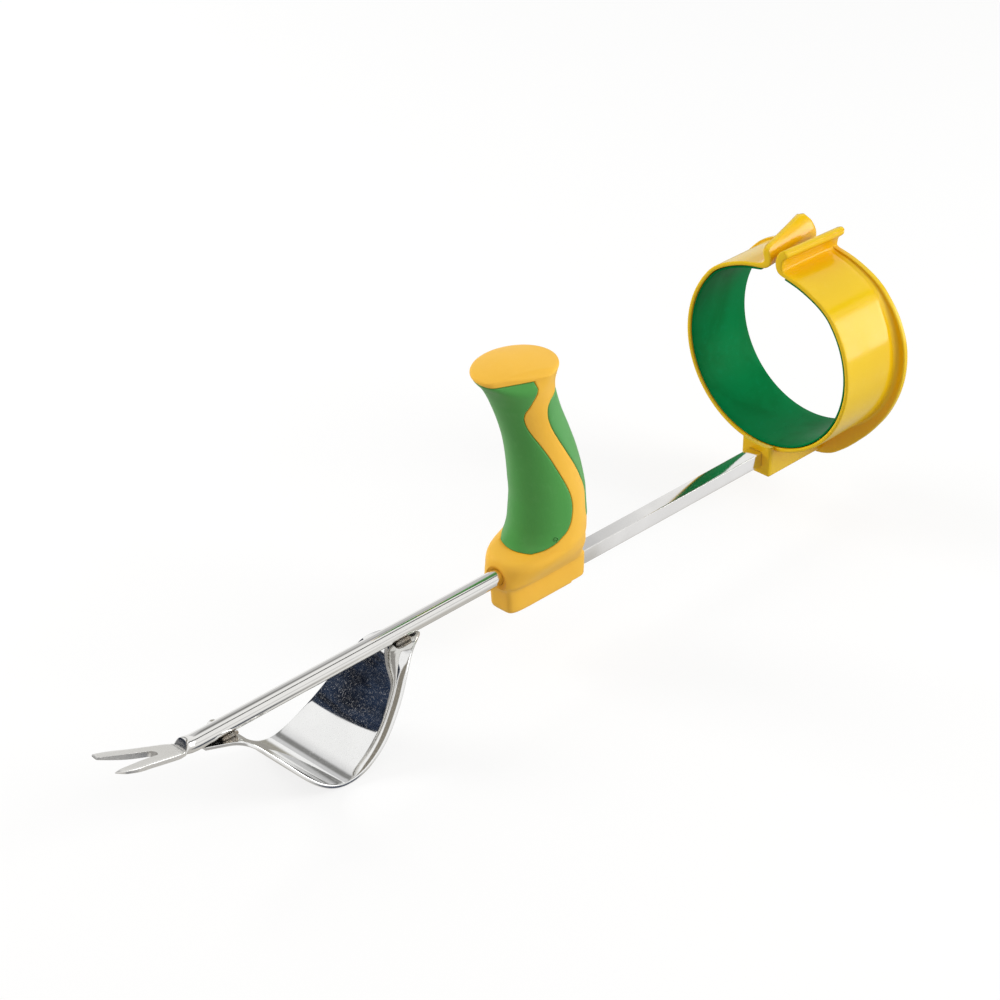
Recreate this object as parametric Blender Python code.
"""Hand weeder with an upright grip and a forearm cuff.

Frame: metres, +Z up. +X runs along the support bar from the blade (front) towards
the cuff (rear); -Y is the near side and +Y the far side. The origin is on the flat
underside of the handle's base. The lengths below are in millimetres from the axis of
the support bar; DATUM, the point that becomes the origin, is taken off each piece.
"""
import math

import bmesh
import bpy
from mathutils import Vector

MM = 0.001
GAP = 0.3                 # clearance left between neighbouring pieces
BASE_Z = -7.5             # underside of the handle's base
DATUM = Vector((-12.0, 0.0, BASE_Z))
SIDES = (("near", -1), ("far", 1))

# name: base colour, roughness and metallic of the surface
MATERIALS = {
    "polished_steel": dict(rgb=(0.80, 0.79, 0.77), roughness=0.12, metallic=1.0),
    "weld_steel": dict(rgb=(0.42, 0.40, 0.38), roughness=0.45, metallic=1.0),
    "brass": dict(rgb=(0.78, 0.57, 0.25), roughness=0.30, metallic=1.0),
    "zinc_steel": dict(rgb=(0.66, 0.66, 0.67), roughness=0.32, metallic=1.0),
    "handle_yellow": dict(rgb=(0.80, 0.43, 0.045), roughness=0.42, metallic=0.0),
    "cuff_yellow": dict(rgb=(0.78, 0.52, 0.02), roughness=0.22, metallic=0.0),
    "pad_green": dict(rgb=(0.075, 0.30, 0.075), roughness=0.55, metallic=0.0),
    "liner_green": dict(rgb=(0.0, 0.17, 0.05), roughness=0.38, metallic=0.0),
}

# --- support bar and the screws through it -----------------------------------
BAR = 8.0                 # square bar, across flats
BAR_CHAMFER = 0.5
BAR_FRONT, BAR_BACK = -24.0, 198.0
BAR_END = 0.8             # length of the tapered ends
BAR_END_SCALE = 0.88
SOCKET_HALF = BAR / 2 + GAP

CUFF_SCREW_X = 182.0
CUFF_SCREW_HOLE_R = 2.1
CUFF_SCREW_RECESS_R = 3.8
# z, radius: head below, shank above
CUFF_SCREW = [(-8.6, 2.6), (-8.3, 3.3), (-6.7, 3.3), (-6.6, 1.7), (0.6, 1.7), (1.1, 1.2)]

LOCK_X = 2.0
LOCK_SCREW_R = 2.0
INSERT_R = 3.0
INSERT_BOTTOM, INSERT_TOP = -7.2, -4.7
LOCK_SCREW = [(-7.6, 1.7), (-7.3, LOCK_SCREW_R), (-4.8, LOCK_SCREW_R), (-4.4, 1.5)]

# --- forked shaft --------------------------------------------------------------
ROD_R = 4.1               # round shaft
ROD_Z = 12.4
ROD_BACK = 0.0
ROD_FRONT = -216.0
TANG_BACK = 14.0          # flattened tang moulded into the handle
SHAFT_SEGMENTS = 32
# tang and rod: x, half width (y), half height (z)
SHAFT = [
    (TANG_BACK, 4.6, 2.2), (TANG_BACK - 0.8, 5.2, 2.8), (ROD_BACK + 4, 4.6, 3.2),
    (ROD_BACK, ROD_R, ROD_R), (ROD_FRONT, ROD_R, ROD_R),
]

BLADE_TILT = 17.0         # degrees, the blade rises towards its tips
BLADE_START = Vector((-218.0, 0, ROD_Z))
BLADE_DIRECTION = Vector((-math.cos(math.radians(BLADE_TILT)), 0,
                          math.sin(math.radians(BLADE_TILT))))
BLADE_T = 2.8
BLADE_TOP = -0.54         # top face, measured square to the blade from BLADE_START
BLADE_EXPONENT = 8.0      # nearly rectangular section
THINNING_START = 30.0     # distance along the blade where its underside starts to rise
THINNING = 1.7            # rise of the underside at the tips
# neck between rod and blade: distance along the blade, tilt of the section, half
# width, top, underside, exponent of the section
NECK = [
    (1.0, 4.0, ROD_R, ROD_R, -4.05, 2.0), (2.8, 8.0, 4.15, 3.95, -3.9, 2.1),
    (4.4, 12.0, 4.25, 3.3, -3.7, 2.3), (5.2, 15.0, 4.35, 1.3, -3.5, 2.7),
    (5.8, BLADE_TILT, 4.45, -0.8, -3.4, 3.2), (6.6, BLADE_TILT, 4.6, -0.2, -3.36, 4.5),
    (7.6, BLADE_TILT, 4.85, BLADE_TOP, BLADE_TOP - BLADE_T, 6.5),
]
# distance along the blade, half width
BLADE = [
    (10.0, 5.4), (15.0, 6.1), (21.0, 6.8), (29.0, 7.8),
    (36.0, 9.0), (42.5, 9.5), (46.5, 9.2), (48.4, 8.2),
]
# notch between the two tines: distance along the blade, half width
NOTCH = [
    (19.4, 0.5), (19.9, 1.2), (21.5, 1.9), (23.4, 2.15), (27.0, 2.8),
    (32.0, 3.9), (40.0, 5.6), (45.0, 6.7), (52.0, 8.13),
]

# --- fulcrum sheet and its welds -----------------------------------------------
PLATE_T = 1.8
PLATE_STEPS = 2           # sections per span of PLATE
PLATE_COLUMNS = 9         # points across the width
PLATE_ORIGIN = (-150, 0, -30)
PLATE_CENTRE_TOP = ROD_Z - ROD_R - GAP - 0.1   # highest the sheet's middle may reach
# x, height of the top face at its side edges, half width
PLATE = [
    (-211.5, 8.0, 2.0), (-205.5, 9.0, 6.5), (-199.5, 9.5, 10.6), (-193.5, 6.6, 14.1),
    (-187.0, -0.5, 16.0), (-180.0, -8.2, 18.6), (-172.0, -17.6, 21.6),
    (-163.0, -26.0, 24.0), (-153.0, -30.2, 25.3), (-143.4, -29.2, 25.7),
    (-134.3, -24.9, 25.3), (-126.0, -19.0, 24.0), (-119.0, -12.0, 22.0),
    (-113.0, -5.3, 19.9), (-107.5, 1.8, 17.3), (-101.3, 7.2, 14.4), (-94.0, 9.0, 10.2),
    (-88.5, 8.7, 6.8), (-83.0, 8.0, 3.0),
]
WELD_ENDS = (("front", -199.0), ("rear", -94.5))   # name, x of the bead's middle
WELD_Y, WELD_Z = 5.3, 10.1
WELD_R, WELD_HALF_LENGTH = 0.9, 4.5
WELD_SEGMENTS, WELD_STEPS = 12, 8

# --- handle --------------------------------------------------------------------
PAD_T = 2.1               # over-moulded soft pads
RECESS = 2.5              # depth of the pads' recesses
RECESS_STEP = 0.3         # height over which a recess ends above and below
RECESS_IN, RECESS_OUT = 0.4, 0.8   # degrees its side wall lies inside and outside the edge
PAD_END_GAP = 0.45        # pads stop this far short of the recess ends
# horizontal sections: z, centre x, half length (x), half width (y), exponent of the
# front half, exponent of the back half (a large exponent gives a squarer end)
SECTIONS = [
    (BASE_Z, -2.8, 24.1, 5.4, 4.5, 12.0), (-6.8, -2.6, 25.2, 6.6, 4.5, 12.0),
    (-5.0, -2.5, 26.1, 7.0, 4.5, 12.0), (0.0, -3.0, 26.7, 7.2, 4.5, 12.0),
    (5.0, -3.4, 27.2, 7.5, 4.5, 11.0), (6.6, -3.5, 27.4, 8.0, 4.3, 8.0),
    (7.6, -3.7, 27.4, 9.4, 4.0, 4.5), (9.5, -4.0, 27.6, 12.0, 3.4, 3.2),
    (12.0, -4.0, 27.9, 14.0, 3.0, 2.9), (15.0, -3.7, 27.9, 16.0, 2.7, 2.6),
    (18.0, -3.2, 27.6, 17.5, 2.5, 2.4), (20.5, -2.2, 26.5, 18.3, 2.3, 2.2),
    (22.4, 0.2, 24.2, 18.7, 2.1, 2.0), (24.5, 2.3, 21.9, 18.7, 2.0, 2.0),
    (28.0, 3.6, 21.0, 18.2, 2.0, 2.0), (34.0, 4.4, 20.3, 17.7, 2.0, 2.0),
    (46.0, 4.3, 19.5, 17.0, 2.0, 2.0), (58.0, 2.5, 18.9, 16.4, 2.0, 2.0),
    (70.0, -0.2, 17.9, 15.6, 2.0, 2.0), (82.0, -4.0, 16.9, 14.7, 2.0, 2.0),
    (94.0, -8.8, 16.4, 14.2, 2.0, 2.0), (104.0, -12.8, 16.8, 14.6, 2.0, 2.0),
    (110.0, -15.0, 17.8, 15.4, 2.0, 2.0), (114.0, -16.4, 19.4, 16.4, 2.0, 2.0),
    (117.0, -17.5, 21.6, 17.6, 2.0, 2.0), (119.0, -18.0, 22.6, 18.2, 2.0, 2.0),
    (120.6, -18.0, 22.4, 18.0, 2.0, 2.0), (121.8, -18.0, 20.6, 16.5, 2.0, 2.0),
    (122.9, -18.0, 16.2, 13.0, 2.0, 2.0), (123.6, -18.0, 10.0, 8.0, 2.0, 2.0),
    (123.9, -18.0, 4.0, 3.2, 2.0, 2.0),
]
# side ribbon between the pads: z, angle of its front edge, angle of its back edge
# (degrees round the section, 0 at the back of the grip, 180 at the front)
RIBBON = [
    (23.6, 146.0, 30.0), (25.0, 131.0, 31.0), (28.0, 114.0, 32.0), (29.6, 109.0, 33.0),
    (32.0, 101.0, 50.0), (38.0, 92.5, 54.0), (44.0, 90.0, 53.0), (50.0, 92.0, 56.0),
    (56.0, 96.0, 62.0), (63.0, 103.0, 69.0), (70.0, 110.0, 77.0), (76.0, 116.0, 83.0),
    (83.0, 124.0, 89.0), (88.0, 130.0, 92.0), (92.0, 133.4, 92.8), (95.0, 134.6, 92.5),
    (98.0, 134.0, 90.5), (102.0, 127.6, 85.0), (105.0, 118.0, 74.0),
    (107.2, 112.0, 50.0), (112.0, 100.0, 45.0), (115.0, 95.0, 42.0),
]
FRONT_EDGE, BACK_EDGE = 1, 2       # columns of RIBBON
FRONT_PAD_Z = (RIBBON[0][0], RIBBON[-1][0])
REAR_PAD_Z = (29.6, 107.2)

# --- cuff ----------------------------------------------------------------------
CUFF_Z = 57.3             # height of the ring's centre
WALL_R = 51.6             # middle of the yellow wall
WALL_T = 2.2
LIP_EXTRA = 1.0           # added to the wall's half thickness at the split
CUFF_FRONT, CUFF_BACK = 164.2, 207.0
LINER_IN, LINER_OUT = 49.2, 50.2
LINER_R = (LINER_IN + LINER_OUT) / 2
LINER_INSET = 0.7         # from the cuff's front and rear edges
LINER_END_DEG = 0.25      # gap at each end of the bottom liner
PIVOT_X = 185.0
HINGE_DEG = 45.0          # where the two springy arms leave the stiff bottom arc
HINGE_COS = math.cos(math.radians(HINGE_DEG))
HINGE_SIN = math.sin(math.radians(HINGE_DEG))
HINGE_GAP = 0.35
HINGE_LEAN = 0.26         # extra gap per millimetre outwards
ARC_END_DEG = 133.0       # where an arm leaves the circle
ARC_POINTS = 12
# rear flange: angle from the bottom, outer radius; it is deepest under the bar block
FLANGE = [
    (0.0, 70.0), (5.0, 70.0), (12.0, 68.9), (20.0, 65.8), (33.0, 61.4), (50.0, 58.4),
    (70.0, 57.4), (98.0, 57.3), (115.0, 56.3), (130.0, 54.9), (146.0, 54.2), (180.0, 53.2),
]
# upper part of both arms, then the lips: distance from the middle plane, z
ARM_TOP = [(31.8, 96.9), (25.0, 100.3), (18.4, 102.8), (12.6, 104.3)]
# side: lip line at the cuff's front edge, lip line at its rear edge
LIPS = {
    -1: ([(8.2, 105.2), (5.4, 106.7), (4.2, 109.4), (4.8, 112.8), (7.0, 115.4), (10.0, 116.6)],
         [(8.8, 105.0), (6.2, 106.6), (5.2, 109.4), (6.4, 112.8), (9.0, 115.2), (12.0, 116.2)]),
    1: ([(7.6, 105.4), (4.6, 106.8), (3.2, 109.2), (3.3, 111.6), (4.2, 113.8), (5.6, 115.4)],
        [(10.6, 104.8), (8.6, 106.4), (7.6, 109.4), (8.2, 113.0), (10.4, 116.4), (13.8, 119.4)]),
}
FADE_POINTS = {-1: 7, 1: 12}   # side: points from the lip's end where the flange fades
BLOCK_FRONT = 160.5
BLOCK_HALF = 9.2
BLOCK_BOTTOM = -8.8
# bar block: x, radius that its top follows, inset of its sides and bottom
BLOCK = [
    (BLOCK_FRONT, 49.9, 0.8), (BLOCK_FRONT + 0.8, 49.8, 0.0), (163.9, 49.8, 0.0),
    (164.5, WALL_R, 0.0), (205.5, WALL_R, 0.0),
]


# --- objects ---------------------------------------------------------------------

def make_material(name, rgb, roughness, metallic):
    mat = bpy.data.materials.new(name)
    mat.use_nodes = True
    shader = mat.node_tree.nodes["Principled BSDF"]
    shader.inputs["Base Color"].default_value = (*rgb, 1.0)
    shader.inputs["Roughness"].default_value = roughness
    shader.inputs["Metallic"].default_value = metallic
    mat.diffuse_color = (*rgb, 1.0)
    return mat


def mesh_object(name, bm):
    """Turn the bmesh into a mesh object linked to the scene."""
    mesh = bpy.data.meshes.new(name)
    bm.to_mesh(mesh)
    bm.free()
    obj = bpy.data.objects.new(name, mesh)
    bpy.context.scene.collection.objects.link(obj)
    return obj


def finish(name, bm, mat, origin=(0, 0, 0), sharp_deg=40.0, parent=None):
    """bm is in millimetres; the object's origin is put at `origin`."""
    bmesh.ops.recalc_face_normals(bm, faces=bm.faces)
    origin = Vector(origin)
    for vert in bm.verts:
        vert.co = (vert.co - origin) * MM
    obj = mesh_object(name, bm)
    obj.data.materials.append(mat)
    obj.data.shade_smooth()
    obj.data.set_sharp_from_angle(angle=math.radians(sharp_deg))
    obj.location = (origin - DATUM) * MM
    if parent is not None:
        obj.parent = parent
        obj.location = (origin - DATUM) * MM - parent.location
    return obj


def combine(obj, name, bm, operation="DIFFERENCE"):
    """Apply bm to obj through a hidden helper object and a boolean modifier."""
    bmesh.ops.recalc_face_normals(bm, faces=bm.faces)
    for vert in bm.verts:
        vert.co *= MM
    helper = mesh_object(name, bm)
    helper.location = -DATUM * MM
    helper.hide_render = True
    helper.display_type = "WIRE"
    modifier = obj.modifiers.new(name, "BOOLEAN")
    modifier.object = helper
    modifier.operation = operation
    modifier.solver = "EXACT"


# --- shapes ----------------------------------------------------------------------

def loft(rings, split_caps=False, endless=False):
    """Skin over the rings; an endless one joins the last ring to the first, uncapped."""
    bm = bmesh.new()
    rows = [[bm.verts.new(point) for point in ring] for ring in rings]
    count = len(rows[0])
    following = rows[1:] + rows[:1] if endless else rows[1:]
    for a, b in zip(rows, following):
        for i in range(count):
            j = (i + 1) % count
            bm.faces.new((a[i], a[j], b[j], b[i]))
    if not endless:
        bm.faces.new(list(reversed(rows[0])))
        bm.faces.new(rows[-1])
    if split_caps:
        bmesh.ops.triangulate(bm, faces=[f for f in bm.faces if len(f.verts) > 4])
    return bm


def box(low, high):
    bm = bmesh.new()
    low, high = Vector(low), Vector(high)
    for vert in bmesh.ops.create_cube(bm, size=1.0)["verts"]:
        vert.co = Vector((low[i] + (high[i] - low[i]) * (vert.co[i] + 0.5) for i in range(3)))
    return bm


def turned(x, profile, segments=24, endless=False):
    """Round piece on a vertical axis; profile is (z, radius)."""
    angles = [2 * math.pi * i / segments for i in range(segments)]
    rings = [[(x + r * math.cos(a), r * math.sin(a), z) for a in angles] for z, r in profile]
    return loft(rings, endless=endless)


def pin(x, radius, bottom, top, segments=24):
    """Plain vertical cylinder, or a hexagonal prism with six segments."""
    return turned(x, [(bottom, radius), (top, radius)], segments)


def half_step_angles(segments):
    return [2 * math.pi * (i + 0.5) / segments for i in range(segments)]


def shaft_ring(x, half_y, half_z, segments=SHAFT_SEGMENTS):
    """Ellipse round the rod's axis."""
    return [(x, half_y * math.sin(a), ROD_Z + half_z * math.cos(a))
            for a in half_step_angles(segments)]


def shaft_cylinder(front, back, radius, segments=SHAFT_SEGMENTS):
    return loft([shaft_ring(x, radius, radius, segments) for x in (front, back)])


def superellipse(value, exponent):
    """Sine or cosine reshaped for a superellipse of the given exponent."""
    return math.copysign(abs(value) ** (2 / exponent), value)


def linear_lookup(rows, x, column):
    if x <= rows[0][0]:
        return rows[0][column]
    for a, b in zip(rows, rows[1:]):
        if x <= b[0]:
            return a[column] + (b[column] - a[column]) * ((x - a[0]) / (b[0] - a[0]))
    return rows[-1][column]


def smooth_lookup(rows, x, column):
    """Monotone cubic look-up, so that sections blend without ripples."""
    if x <= rows[0][0]:
        return rows[0][column]
    if x >= rows[-1][0]:
        return rows[-1][column]
    i = max(k for k in range(len(rows) - 1) if rows[k][0] <= x)
    rates = [(b[column] - a[column]) / (b[0] - a[0]) for a, b in zip(rows, rows[1:])]

    def slope(k):
        if k == 0:
            return rates[0]
        if k == len(rates):
            return rates[-1]
        before, after = rates[k - 1], rates[k]
        if before * after <= 0:
            return 0.0
        return 2 * before * after / (before + after)

    span = rows[i + 1][0] - rows[i][0]
    t = (x - rows[i][0]) / span
    return ((2 * t ** 3 - 3 * t ** 2 + 1) * rows[i][column]
            + (t ** 3 - 2 * t ** 2 + t) * span * slope(i)
            + (3 * t ** 2 - 2 * t ** 3) * rows[i + 1][column]
            + (t ** 3 - t ** 2) * span * slope(i + 1))


def catmull_rom(points, steps):
    """Smooth curve through the points, `steps` pieces per span."""
    pts = [Vector(p) for p in points]
    curve = []
    for i in range(len(pts) - 1):
        p1, p2 = pts[i], pts[i + 1]
        p0 = pts[i - 1] if i else p1 * 2 - p2
        p3 = pts[i + 2] if i + 2 < len(pts) else p2 * 2 - p1
        for k in range(steps):
            t = k / steps
            curve.append(0.5 * ((2 * p1) + (p2 - p0) * t
                                + (2 * p0 - 5 * p1 + 4 * p2 - p3) * t * t
                                + (3 * p1 - p0 - 3 * p2 + p3) * t ** 3))
    curve.append(pts[-1])
    return curve


# --- steel pieces ------------------------------------------------------------------

def blade_up(tilt):
    """Up direction of a blade or neck section tilted by `tilt` degrees."""
    return Vector((math.sin(math.radians(tilt)), 0, math.cos(math.radians(tilt))))


def blade_underside(distance):
    """Height of the blade's underside; the tines thin out towards their tips."""
    part = (distance - THINNING_START) / (BLADE[-1][0] - THINNING_START)
    return BLADE_TOP - BLADE_T + THINNING * max(0.0, part) ** 1.4


def blade_section(distance, tilt, half_width, top, underside, exponent):
    up = blade_up(tilt)
    middle, half = (top + underside) / 2, (top - underside) / 2
    ring = []
    for a in half_step_angles(SHAFT_SEGMENTS):
        y = half_width * superellipse(math.sin(a), exponent)
        height = middle + half * superellipse(math.cos(a), exponent)
        ring.append(BLADE_START + BLADE_DIRECTION * distance + up * height + Vector((0, y, 0)))
    return ring


def make_forked_shaft(mat):
    """Flattened tang, round rod, neck and blade in one loft."""
    rings = [shaft_ring(*row) for row in SHAFT]
    rings += [blade_section(*row) for row in NECK]
    rings += [blade_section(distance, BLADE_TILT, half_width, BLADE_TOP,
                            blade_underside(distance), BLADE_EXPONENT)
              for distance, half_width in BLADE]
    shaft = finish("forked_shaft", loft(rings, split_caps=True), mat, origin=BLADE_START)

    up = blade_up(BLADE_TILT)
    outline = NOTCH + [(distance, -half_width) for distance, half_width in reversed(NOTCH)]
    rings = [[BLADE_START + BLADE_DIRECTION * distance + Vector((0, y, 0)) + up * height
              for distance, y in outline] for height in (-8.0, 4.0)]
    combine(shaft, "tine_notch", loft(rings))


def make_fulcrum(mat):
    """Bent sheet, its middle sunk where needed to pass under the rod."""
    curve = catmull_rom([(x, half_width, z) for x, z, half_width in PLATE], PLATE_STEPS)
    rings = []
    for i, station in enumerate(curve):
        before, after = curve[max(0, i - 1)], curve[min(len(curve) - 1, i + 1)]
        tangent = Vector((after.x - before.x, 0, after.z - before.z)).normalized()
        down = Vector((tangent.z, 0, -tangent.x))
        dip = max(0.0, station.z - PLATE_CENTRE_TOP)
        top = []
        for k in range(PLATE_COLUMNS):
            u = -1 + 2 * k / (PLATE_COLUMNS - 1)
            top.append(Vector((station.x, u * station.y, station.z - dip * (1 - u * u))))
        rings.append(top + [point + down * PLATE_T for point in reversed(top)])
    finish("fulcrum_plate", loft(rings, split_caps=True), mat, origin=PLATE_ORIGIN)


def make_weld(name, x, side, mat):
    """Bead along X, narrowing at both ends."""
    rings = []
    for k in range(WELD_STEPS + 1):
        u = -1 + 2 * k / WELD_STEPS
        radius = WELD_R * (0.35 + 0.65 * math.sqrt(1 - u ** 4))
        angles = [2 * math.pi * i / WELD_SEGMENTS for i in range(WELD_SEGMENTS)]
        rings.append([(x + u * WELD_HALF_LENGTH, side * WELD_Y + radius * math.sin(a),
                       WELD_Z + radius * math.cos(a)) for a in angles])
    finish(name, loft(rings), mat, origin=(x, side * WELD_Y, WELD_Z))


def make_support_bar(mat):
    h = BAR / 2
    c = h - BAR_CHAMFER
    section = [(-c, -h), (c, -h), (h, -c), (h, c), (c, h), (-c, h), (-h, c), (-h, -c)]
    stations = ((BAR_FRONT, BAR_END_SCALE), (BAR_FRONT + BAR_END, 1.0),
                (BAR_BACK - BAR_END, 1.0), (BAR_BACK, BAR_END_SCALE))
    rings = [[(x, y * scale, z * scale) for y, z in section] for x, scale in stations]
    bar = finish("support_bar", loft(rings), mat, origin=(BAR_FRONT, 0, 0), sharp_deg=20)
    combine(bar, "bar_screw_hole", pin(CUFF_SCREW_X, CUFF_SCREW_HOLE_R, -6.0, 1.6, 20))


# --- handle ------------------------------------------------------------------------

def grip_point(z, deg, inset=0.0):
    """Point on the grip's surface at height z, `deg` round from the back towards +Y."""
    centre, length, width, front, back = (smooth_lookup(SECTIONS, z, k) for k in range(1, 6))
    c, s = math.cos(math.radians(deg)), math.sin(math.radians(deg))
    exponent = back if c > 0 else front
    return Vector((centre + (length - inset) * superellipse(c, exponent),
                   (width - inset) * superellipse(s, exponent), z))


def grip_columns(z):
    """(angle, recessed) from back to front, with a step at each edge of the ribbon."""
    front = linear_lookup(RIBBON, z, FRONT_EDGE)
    back = linear_lookup(RIBBON, z, BACK_EDGE)
    in_front = FRONT_PAD_Z[0] <= z <= FRONT_PAD_Z[1]
    in_rear = REAR_PAD_Z[0] <= z <= REAR_PAD_Z[1]
    columns = [(back * k / 5, in_rear) for k in range(5)]
    columns += [(back - RECESS_IN, in_rear), (back + RECESS_OUT, False)]
    columns += [(back + (front - back) * k / 4, False) for k in (1, 2, 3)]
    columns += [(front - RECESS_OUT, False), (front + RECESS_IN, in_front)]
    columns += [(front + (180 - front) * k / 8, in_front) for k in range(1, 9)]
    return columns


def core_levels():
    """Heights of the core's rings, with one just beyond each recess end."""
    levels = {row[0] for row in SECTIONS + RIBBON}
    for bottom, top in (FRONT_PAD_Z, REAR_PAD_Z):
        levels |= {bottom - RECESS_STEP, top + RECESS_STEP}
    return sorted(levels)


def make_handle_core(mat):
    rings = []
    for z in core_levels():
        far = grip_columns(z)
        near = [(-deg, recessed) for deg, recessed in reversed(far[1:-1])]
        rings.append([grip_point(z, deg, RECESS if recessed else 0.0)
                      for deg, recessed in far + near])
    core = finish("handle_core", loft(rings, split_caps=True), mat, sharp_deg=35)

    # round recess in the nose, bore for the rod and pocket for its tang
    combine(core, "nose_recess", shaft_cylinder(-45, -29.6, 8.0, 36))
    combine(core, "rod_bore", shaft_cylinder(-46, ROD_BACK + 1.0, ROD_R + GAP))
    half_y, half_z = 5.6, 4.45
    combine(core, "tang_pocket", box((ROD_BACK - 0.5, -half_y, ROD_Z - half_z),
                                     (TANG_BACK + GAP, half_y, ROD_Z + half_z)))
    # square socket for the bar, open at the back
    combine(core, "bar_socket", box((BAR_FRONT - 0.6, -SOCKET_HALF, -SOCKET_HALF),
                                    (40, SOCKET_HALF, SOCKET_HALF)))
    # step under the back of the base, and the hole for the lock insert
    combine(core, "base_step", box((13.8, -20, -20), (40, 20, -5.5)))
    combine(core, "insert_hole", pin(LOCK_X, INSERT_R + GAP, -12.0, 0.0))


def make_pad(name, z_range, front, mat):
    """Soft pad: a shell patch bounded by the ribbon's edges, slightly inside its recess."""
    bottom, top = z_range[0] + PAD_END_GAP, z_range[1] - PAD_END_GAP
    levels = sorted({bottom, top} | {z for z in core_levels() if bottom < z < top})
    columns = 18 if front else 12
    column = FRONT_EDGE if front else BACK_EDGE
    rings = []
    for z in levels:
        edge = linear_lookup(RIBBON, z, column)
        slope = abs(linear_lookup(RIBBON, z + 0.5, column)
                    - linear_lookup(RIBBON, z - 0.5, column))
        margin = 1.7 + 0.35 * slope   # degrees, wider where the edge runs obliquely
        if front:
            start, end = edge + margin, 360 - edge - margin
        else:
            start, end = margin - edge, edge - margin
        angles = [start + (end - start) * k / columns for k in range(columns + 1)]
        rings.append([grip_point(z, deg) for deg in angles]
                     + [grip_point(z, deg, PAD_T) for deg in reversed(angles)])
    middle = grip_point((bottom + top) / 2, 180 if front else 0)
    finish(name, loft(rings, split_caps=True), mat, origin=middle, sharp_deg=35)


def make_lock_insert(mat):
    bore = LOCK_SCREW_R + GAP
    profile = [(INSERT_BOTTOM, INSERT_R), (INSERT_TOP, INSERT_R),
               (INSERT_TOP, bore), (INSERT_BOTTOM, bore)]
    finish("bar_lock_insert", turned(LOCK_X, profile, endless=True), mat,
           origin=(LOCK_X, 0, INSERT_BOTTOM))


def make_screw(name, x, profile, mat, socket_name, socket_r, socket_bottom, socket_top):
    """Upright screw with a hexagonal socket in its underside."""
    screw = finish(name, turned(x, profile), mat, origin=(x, 0, profile[0][0]))
    combine(screw, socket_name, pin(x, socket_r, socket_bottom, socket_top, 6))


# --- cuff ----------------------------------------------------------------------------

def pivot_point(side):
    return (PIVOT_X, side * WALL_R * HINGE_SIN, CUFF_Z - WALL_R * HINGE_COS)


def make_pivot(name, side):
    pivot = bpy.data.objects.new(name, None)
    pivot.location = (Vector(pivot_point(side)) - DATUM) * MM
    pivot.empty_display_size = 0.02
    bpy.context.scene.collection.objects.link(pivot)
    return pivot


def cuff_section(deg_from_bottom, half_t):
    """Wall and flange section: (x, offset from the middle of the wall)."""
    tip = smooth_lookup(FLANGE, abs(deg_from_bottom), 1) - WALL_R
    return [
        (CUFF_FRONT + 0.5, -half_t), (CUFF_FRONT, -half_t + 0.5),
        (CUFF_FRONT, half_t - 0.6), (CUFF_FRONT + 0.6, half_t),
        (CUFF_FRONT + 18.0, half_t), (CUFF_BACK - 7.4, half_t),
        (CUFF_BACK - 4.8, half_t + 0.8),
        (CUFF_BACK - 3.4, half_t + 0.45 * (tip - half_t) + 0.6),
        (CUFF_BACK - 3.0, tip - 0.6), (CUFF_BACK - 2.4, tip), (CUFF_BACK - 0.8, tip),
        (CUFF_BACK - 0.1, tip - 0.8), (CUFF_BACK, 0.0), (CUFF_BACK - 0.5, -half_t),
        (CUFF_FRONT + 22.0, -half_t),
    ]


def liner_section():
    """Liner section: (x, offset from the middle of the liner)."""
    front, back = CUFF_FRONT + LINER_INSET, CUFF_BACK - LINER_INSET
    half = (LINER_OUT - LINER_IN) / 2
    return [(front, -half), (front, half), (back, half), (back, -half)]


def bottom_arc(half_deg, steps, radius, section_at):
    """Rings of a section swept under the ring's centre, half_deg to either side."""
    rings = []
    for i in range(steps + 1):
        deg = -half_deg + 2 * half_deg * i / steps
        a = math.radians(deg)
        rings.append([(x, (radius + offset) * math.sin(a),
                       CUFF_Z - (radius + offset) * math.cos(a))
                      for x, offset in section_at(deg)])
    return rings


def arm_line(side, back):
    """Middle of one arm's wall as (y, z); back runs 0 at the front edge to 1 at the rear."""
    points = []
    for k in range(ARC_POINTS):
        a = math.radians(HINGE_DEG + (ARC_END_DEG - HINGE_DEG) * k / (ARC_POINTS - 1))
        points.append((WALL_R * math.sin(a), CUFF_Z - WALL_R * math.cos(a)))
    points += ARM_TOP
    points += [(f[0] + (r[0] - f[0]) * back, f[1] + (r[1] - f[1]) * back)
               for f, r in zip(*LIPS[side])]
    return [Vector((distance * side, z)) for distance, z in points]


def wall_point(x, i, offset, side):
    """Point i of the arm's line at x, moved `offset` outwards along the normal."""
    line = arm_line(side, (x - CUFF_FRONT) / (CUFF_BACK - CUFF_FRONT))
    before, after = line[max(0, i - 1)], line[min(len(line) - 1, i + 1)]
    tangent = (after - before).normalized()
    return line[i] + Vector((tangent.y, -tangent.x)) * side * offset


def wall_half(i, count):
    """Half thickness of the wall: the lips at the split are thicker."""
    lip = max(0.0, (i - (count - 7)) / 6.0)
    return WALL_T / 2 + LIP_EXTRA * min(1.0, lip * 1.6)


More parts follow.
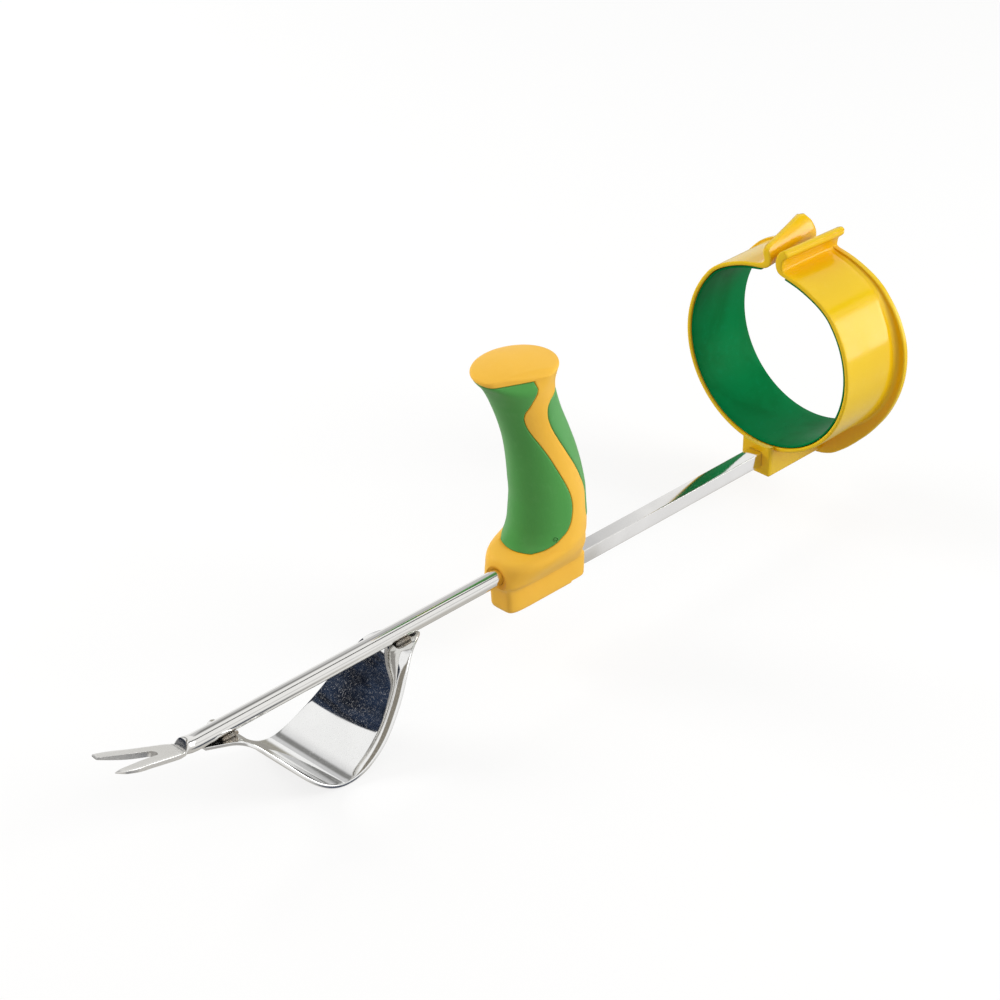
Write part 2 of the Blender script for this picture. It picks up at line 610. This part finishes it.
def make_arm(name, side, mat, pivot):
    middle_line = arm_line(side, 0.5)
    count = len(middle_line)
    along = Vector((HINGE_COS * side, HINGE_SIN))
    rings = []
    for i, point in enumerate(middle_line):
        deg = math.degrees(math.atan2(abs(point.x), CUFF_Z - point.y))
        half_t = wall_half(i, count)
        fade = min(1.0, max(0.0, (i - (count - FADE_POINTS[side])) / 6.0))
        ring = []
        for x, offset in cuff_section(deg, half_t):
            if offset > half_t:
                offset = half_t + (offset - half_t) * (1 - fade)
            moved = wall_point(x, i, offset, side)
            if i == 0:
                # the end face leans back so that the arm can open
                moved += along * (HINGE_GAP + HINGE_LEAN * max(0.0, offset + WALL_T / 2))
            ring.append((x, moved.x, moved.y))
        rings.append(ring)
    finish(name, loft(rings, split_caps=True), mat, origin=pivot_point(side), sharp_deg=35,
           parent=pivot)


def bar_block_ring(x, radius, inset):
    """Section of the bar block: its top follows the ring, its lower edges are rounded."""
    half, bottom = BLOCK_HALF - inset, BLOCK_BOTTOM + inset
    ring = []
    for k in range(9):
        y = half * (1 - k / 4.0)
        ring.append((x, y, CUFF_Z - math.sqrt(radius * radius - y ** 2)))
    corner = [(half, 1.0), (half - 0.3, 0.3), (half - 1.0, 0.0)]
    ring += [(x, -y, bottom + rise) for y, rise in corner]
    ring += [(x, y, bottom + rise) for y, rise in reversed(corner)]
    return ring


def make_cuff_base(mat):
    rings = bottom_arc(HINGE_DEG, 18, WALL_R, lambda deg: cuff_section(deg, WALL_T / 2))
    base = finish("cuff_base", loft(rings, split_caps=True), mat,
                  origin=(BLOCK_FRONT, 0, 0), sharp_deg=35)
    # block that takes the bar; its front stands up towards the liner
    combine(base, "bar_block", loft([bar_block_ring(*row) for row in BLOCK]), "UNION")
    combine(base, "bar_hole", box((BLOCK_FRONT - 5, -SOCKET_HALF, -SOCKET_HALF),
                                  (BAR_BACK + 0.4, SOCKET_HALF, SOCKET_HALF)))
    combine(base, "screw_head_recess", pin(CUFF_SCREW_X, CUFF_SCREW_RECESS_R, -12.0, -6.3))
    combine(base, "screw_hole", pin(CUFF_SCREW_X, CUFF_SCREW_HOLE_R, -8.0, 0.0, 20))


def make_base_liner(mat):
    rings = bottom_arc(HINGE_DEG - LINER_END_DEG, 16, LINER_R, lambda deg: liner_section())
    finish("cuff_liner_base", loft(rings), mat, origin=(PIVOT_X, 0, CUFF_Z - LINER_R))


def make_arm_liner(name, side, mat, pivot):
    """Liner of one arm; it stops five points short of the lip's end."""
    along = Vector((HINGE_COS * side, HINGE_SIN))
    rings = []
    for i in range(len(arm_line(side, 0.0)) - 5):
        ring = []
        for x, offset in liner_section():
            moved = wall_point(x, i, (LINER_R - WALL_R) + offset, side)
            if i == 0:
                moved += along * HINGE_GAP
            ring.append((x, moved.x, moved.y))
        rings.append(ring)
    finish(name, loft(rings), mat, origin=pivot_point(side), parent=pivot)


def main():
    for obj in list(bpy.data.objects):
        bpy.data.objects.remove(obj, do_unlink=True)
    mats = {name: make_material(name, **look) for name, look in MATERIALS.items()}

    make_forked_shaft(mats["polished_steel"])
    make_fulcrum(mats["polished_steel"])
    for end, x in WELD_ENDS:
        for side_name, side in SIDES:
            make_weld(f"weld_{end}_{side_name}", x, side, mats["weld_steel"])
    make_support_bar(mats["polished_steel"])

    make_handle_core(mats["handle_yellow"])
    make_pad("grip_front_pad", FRONT_PAD_Z, True, mats["pad_green"])
    make_pad("grip_rear_pad", REAR_PAD_Z, False, mats["pad_green"])
    make_lock_insert(mats["brass"])
    make_screw("bar_lock_screw", LOCK_X, LOCK_SCREW, mats["zinc_steel"],
               "hex_socket", socket_r=1.0, socket_bottom=-9.0, socket_top=-6.0)

    make_cuff_base(mats["cuff_yellow"])
    make_base_liner(mats["liner_green"])
    for side_name, side in SIDES:
        pivot = make_pivot(f"{side_name}_arm_pivot", side)
        make_arm(f"cuff_{side_name}_arm", side, mats["cuff_yellow"], pivot)
        make_arm_liner(f"cuff_liner_{side_name}", side, mats["liner_green"], pivot)
    make_screw("cuff_screw", CUFF_SCREW_X, CUFF_SCREW, mats["zinc_steel"],
               "cuff_hex_socket", socket_r=1.3, socket_bottom=-10.0, socket_top=-7.2)


main()
